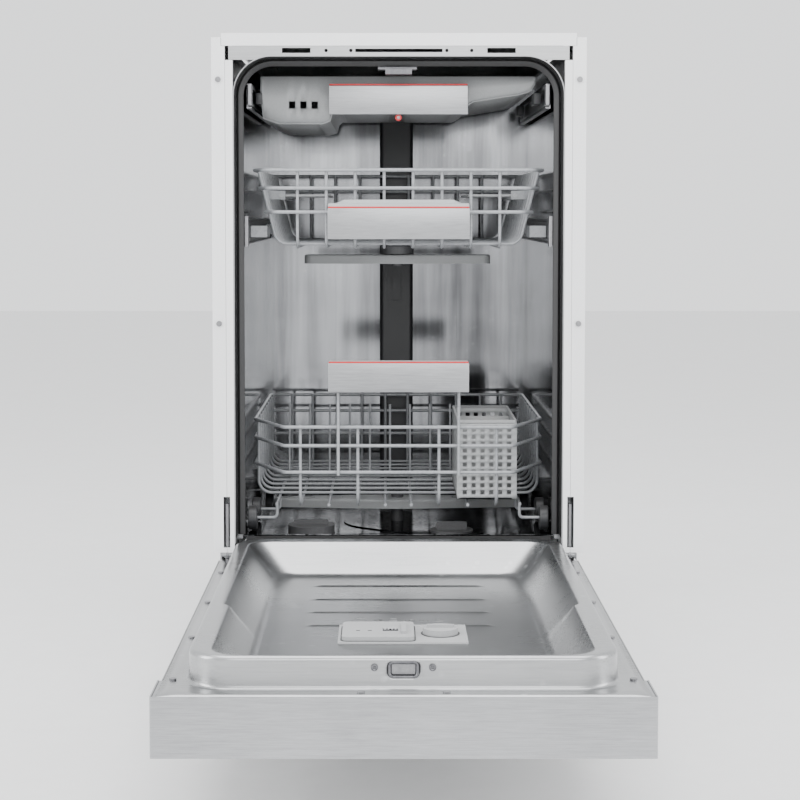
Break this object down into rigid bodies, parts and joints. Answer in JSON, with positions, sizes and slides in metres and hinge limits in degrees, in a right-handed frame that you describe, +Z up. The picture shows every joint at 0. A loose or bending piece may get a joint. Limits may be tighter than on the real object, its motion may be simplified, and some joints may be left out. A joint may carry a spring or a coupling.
{
  "type": "built-in dishwasher",
  "caption": "Slim built-in dishwasher with its door open, wire baskets, cutlery drawer and cutlery basket, spray arms and inner works.",
  "frame": {"origin": "on the floor under the middle of the bounding box of the open dishwasher", "axes": "+X to the right seen from the front, +Y to the back, +Z up"},
  "size_m": [0.448, 1.1324, 0.815],
  "materials": {
    "side_panel_left": "satin white paint",
    "side_panel_right": "satin white paint",
    "frame_strips": "satin white paint",
    "top_cover": "satin white paint",
    "rear_panel": "zinc plated",
    "front_frame": "brushed stainless",
    "tub_wrap": "brushed stainless",
    "tub_back": "brushed stainless",
    "tub_floor": "brushed stainless",
    "door_gaskets": "black seal",
    "base_tray": "dark grey plastic",
    "kick_plate": "zinc plated",
    "counterweight": "rough cast",
    "sump": "dark grey plastic",
    "filter_plate": "brushed stainless",
    "filter_cylinder": "light grey plastic",
    "circulation_pump": "dark grey plastic",
    "drain_pump": "dark grey plastic",
    "salt_container": "light grey plastic",
    "salt_cap": "light grey plastic",
    "inlet_valve": "light grey plastic",
    "power_inlet": "dark grey plastic",
    "water_duct": "dark grey plastic",
    "hinge_brackets": "zinc plated",
    "door_springs": "zinc plated",
    "fixed_rails": "zinc plated",
    "strike_hook": "zinc plated",
    "cabinet_screws": "zinc plated",
    "door_liner": "brushed stainless",
    "door_skin": "brushed stainless",
    "door_fascia": "brushed stainless",
    "hinge_levers": "zinc plated",
    "door_lock": "dark grey plastic",
    "door_screws": "zinc plated",
    "display_window": "black gloss",
    "dispenser_housing": "light grey plastic",
    "dispenser_lid": "light grey plastic",
    "rinse_cap": "light grey plastic",
    "power_button": "dark grey plastic",
    "lower_basket": "nylon coated wire",
    "lower_handle": "brushed stainless",
    "lower_tines": "nylon coated wire",
    "cutlery_basket": "light grey plastic",
    "lower_spray_arm": "light grey plastic",
    "upper_basket": "nylon coated wire",
    "upper_handle": "brushed stainless",
    "upper_feed_pipe": "light grey plastic",
    "upper_spray_arm": "light grey plastic",
    "upper_slide_rails": "zinc plated",
    "cup_shelf_left": "light grey plastic",
    "cup_shelf_right": "light grey plastic",
    "cutlery_tray": "light grey plastic",
    "drawer_handle": "brushed stainless",
    "drawer_slide_rails": "zinc plated",
    "foot_front_left": "dark grey plastic",
    "foot_front_right": "dark grey plastic",
    "foot_rear": "dark grey plastic",
    "lower_rollers_front": "dark grey plastic",
    "lower_rollers_middle": "dark grey plastic",
    "lower_rollers_rear": "dark grey plastic"
  },
  "bodies": {
    "cabinet": {"side_panel_left": "side_panel_left", "side_panel_right": "side_panel_right", "frame_strips": "frame_strips", "top_cover": "top_cover", "rear_panel": "rear_panel", "front_frame": "front_frame", "tub_wrap": "tub_wrap", "tub_back": "tub_back", "tub_floor": "tub_floor", "door_gaskets": "door_gaskets", "base_tray": "base_tray", "kick_plate": "kick_plate", "counterweight": "counterweight", "sump": "sump", "filter_plate": "filter_plate", "circulation_pump": "circulation_pump", "drain_pump": "drain_pump", "salt_container": "salt_container", "inlet_valve": "inlet_valve", "power_inlet": "power_inlet", "water_duct": "water_duct", "hinge_brackets": "hinge_brackets", "door_springs": "door_springs", "fixed_rails": "fixed_rails", "strike_hook": "strike_hook", "cabinet_screws": "cabinet_screws"},
    "door": {"door_liner": "door_liner", "door_skin": "door_skin", "door_fascia": "door_fascia", "hinge_levers": "hinge_levers", "door_lock": "door_lock", "door_screws": "door_screws", "display_window": "display_window", "dispenser_housing": "dispenser_housing"},
    "detergent_lid": {"dispenser_lid": "dispenser_lid"},
    "rinse_aid_cap": {"rinse_cap": "rinse_cap"},
    "power_key": {"power_button": "power_button"},
    "lower_rack": {"lower_basket": "lower_basket", "lower_handle": "lower_handle"},
    "tine_row": {"lower_tines": "lower_tines"},
    "cutlery_cage": {"cutlery_basket": "cutlery_basket"},
    "roller_pair_front": {"lower_rollers_front": "lower_rollers_front"},
    "roller_pair_middle": {"lower_rollers_middle": "lower_rollers_middle"},
    "roller_pair_rear": {"lower_rollers_rear": "lower_rollers_rear"},
    "lower_arm": {"lower_spray_arm": "lower_spray_arm"},
    "upper_rack": {"upper_basket": "upper_basket", "upper_handle": "upper_handle", "upper_feed_pipe": "upper_feed_pipe"},
    "upper_arm": {"upper_spray_arm": "upper_spray_arm"},
    "upper_slides": {"upper_slide_rails": "upper_slide_rails"},
    "cup_shelf_l": {"cup_shelf_left": "cup_shelf_left"},
    "cup_shelf_r": {"cup_shelf_right": "cup_shelf_right"},
    "cutlery_drawer": {"cutlery_tray": "cutlery_tray", "drawer_handle": "drawer_handle"},
    "drawer_slides": {"drawer_slide_rails": "drawer_slide_rails"},
    "filter": {"filter_cylinder": "filter_cylinder"},
    "salt_lid": {"salt_cap": "salt_cap"},
    "foot_l": {"foot_front_left": "foot_front_left"},
    "foot_r": {"foot_front_right": "foot_front_right"},
    "foot_b": {"foot_rear": "foot_rear"}
  },
  "joints": [
    {"name": "door_hinge", "type": "hinge", "parent": "cabinet", "child": "door", "pos_m": [0, 0.0582, 0.1866], "axis": [1, 0, 0], "range_deg": [-90, 0], "deforming": ["door_springs"]},
    {"name": "detergent_lid_slide", "type": "slide", "parent": "door", "child": "detergent_lid", "axis": [-1, 0, 0], "range_m": [0, 0.055]},
    {"name": "rinse_cap_turn", "type": "hinge", "parent": "door", "child": "rinse_aid_cap", "pos_m": [0.04, -0.3018, 0.17], "axis": [0, 0, 1], "range_deg": [0, 90]},
    {"name": "power_key_press", "type": "slide", "parent": "door", "child": "power_key", "axis": [0, 0, 1], "range_m": [0, 0.002], "stiffness_N_per_m": 400, "springref_m": -0.002},
    {"name": "lower_rack_slide", "type": "slide", "parent": "cabinet", "child": "lower_rack", "axis": [0, -1, 0], "range_m": [0, 0.45]},
    {"name": "tine_fold", "type": "hinge", "parent": "lower_rack", "child": "tine_row", "pos_m": [0, 0.3172, 0.2485], "axis": [1, 0, 0], "range_deg": [-75, 0]},
    {"name": "cutlery_lift", "type": "slide", "parent": "lower_rack", "child": "cutlery_cage", "axis": [0, 0, 1], "range_m": [0, 0.13]},
    {"name": "roller_front_turn", "type": "hinge", "parent": "lower_rack", "child": "roller_pair_front", "pos_m": [0, 0.1162, 0.222], "axis": [1, 0, 0], "continuous": true},
    {"name": "roller_middle_turn", "type": "hinge", "parent": "lower_rack", "child": "roller_pair_middle", "pos_m": [0, 0.1822, 0.222], "axis": [1, 0, 0], "continuous": true},
    {"name": "roller_rear_turn", "type": "hinge", "parent": "lower_rack", "child": "roller_pair_rear", "pos_m": [0, 0.4502, 0.222], "axis": [1, 0, 0], "continuous": true},
    {"name": "lower_arm_spin", "type": "hinge", "parent": "cabinet", "child": "lower_arm", "pos_m": [0, 0.3002, 0.206], "axis": [0, 0, 1], "continuous": true},
    {"name": "upper_rack_slide", "type": "slide", "parent": "cabinet", "child": "upper_rack", "axis": [0, -1, 0], "range_m": [0, 0.43]},
    {"name": "upper_slides_run", "type": "slide", "parent": "cabinet", "child": "upper_slides", "axis": [0, -1, 0], "range_m": [0, 0.215]},
    {"name": "upper_arm_spin", "type": "hinge", "parent": "upper_rack", "child": "upper_arm", "pos_m": [0, 0.3002, 0.5335], "axis": [0, 0, 1], "continuous": true},
    {"name": "cup_shelf_l_fold", "type": "hinge", "parent": "upper_rack", "child": "cup_shelf_l", "pos_m": [-0.147, 0.2502, 0.623], "axis": [0, -1, 0], "range_deg": [0, 85]},
    {"name": "cup_shelf_r_fold", "type": "hinge", "parent": "upper_rack", "child": "cup_shelf_r", "pos_m": [0.147, 0.2502, 0.623], "axis": [0, 1, 0], "range_deg": [0, 85]},
    {"name": "drawer_slide", "type": "slide", "parent": "cabinet", "child": "cutlery_drawer", "axis": [0, -1, 0], "range_m": [0, 0.38]},
    {"name": "drawer_slides_run", "type": "slide", "parent": "cabinet", "child": "drawer_slides", "axis": [0, -1, 0], "range_m": [0, 0.19]},
    {"name": "filter_turn", "type": "hinge", "parent": "cabinet", "child": "filter", "pos_m": [0.07, 0.2152, 0.206], "axis": [0, 0, 1], "range_deg": [0, 90]},
    {"name": "salt_lid_turn", "type": "hinge", "parent": "cabinet", "child": "salt_lid", "pos_m": [-0.112, 0.2082, 0.206], "axis": [0, 0, 1], "range_deg": [0, 360]},
    {"name": "foot_l_level", "type": "slide", "parent": "cabinet", "child": "foot_l", "axis": [0, 0, -1], "range_m": [0, 0.05]},
    {"name": "foot_r_level", "type": "slide", "parent": "cabinet", "child": "foot_r", "axis": [0, 0, -1], "range_m": [0, 0.05]},
    {"name": "foot_b_level", "type": "slide", "parent": "cabinet", "child": "foot_b", "axis": [0, 0, -1], "range_m": [0, 0.05]}
  ],
  "couplings": [
    {"joint": "roller_front_turn", "follows": "lower_rack_slide", "rad_per_m": 66.667},
    {"joint": "roller_middle_turn", "follows": "lower_rack_slide", "rad_per_m": 66.667},
    {"joint": "roller_rear_turn", "follows": "lower_rack_slide", "rad_per_m": 66.667},
    {"joint": "upper_slides_run", "follows": "upper_rack_slide", "ratio": 0.5},
    {"joint": "drawer_slides_run", "follows": "drawer_slide", "ratio": 0.5}
  ]
}
